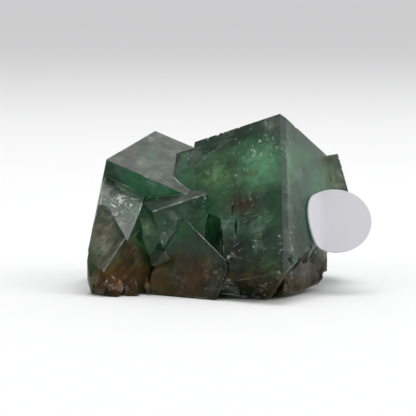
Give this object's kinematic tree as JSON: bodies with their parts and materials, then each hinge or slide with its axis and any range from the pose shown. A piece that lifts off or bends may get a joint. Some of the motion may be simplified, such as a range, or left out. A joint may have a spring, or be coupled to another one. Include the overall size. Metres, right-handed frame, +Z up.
{
  "type": "fluorite cluster",
  "caption": "Palm-sized cluster of dark green see-through fluorite cubes grown through each other on a cleaved flat foot, with a blank round paper sticker.",
  "frame": {"origin": "on the flat foot, under the middle of the whole part's box", "axes": "+Z up from the foot, +X to the right and +Y to the back as seen from the side with the large cube faces"},
  "size_m": [0.0452, 0.0388, 0.0275],
  "materials": {
    "green_fluorite": "see-through crystal, satin cube faces, bright cleavage, brown towards the foot",
    "white_paper": "matt white paper, blank"
  },
  "bodies": {
    "root": {"crystal_cluster": "green_fluorite", "paper_sticker": "white_paper"}
  },
  "joints": []
}
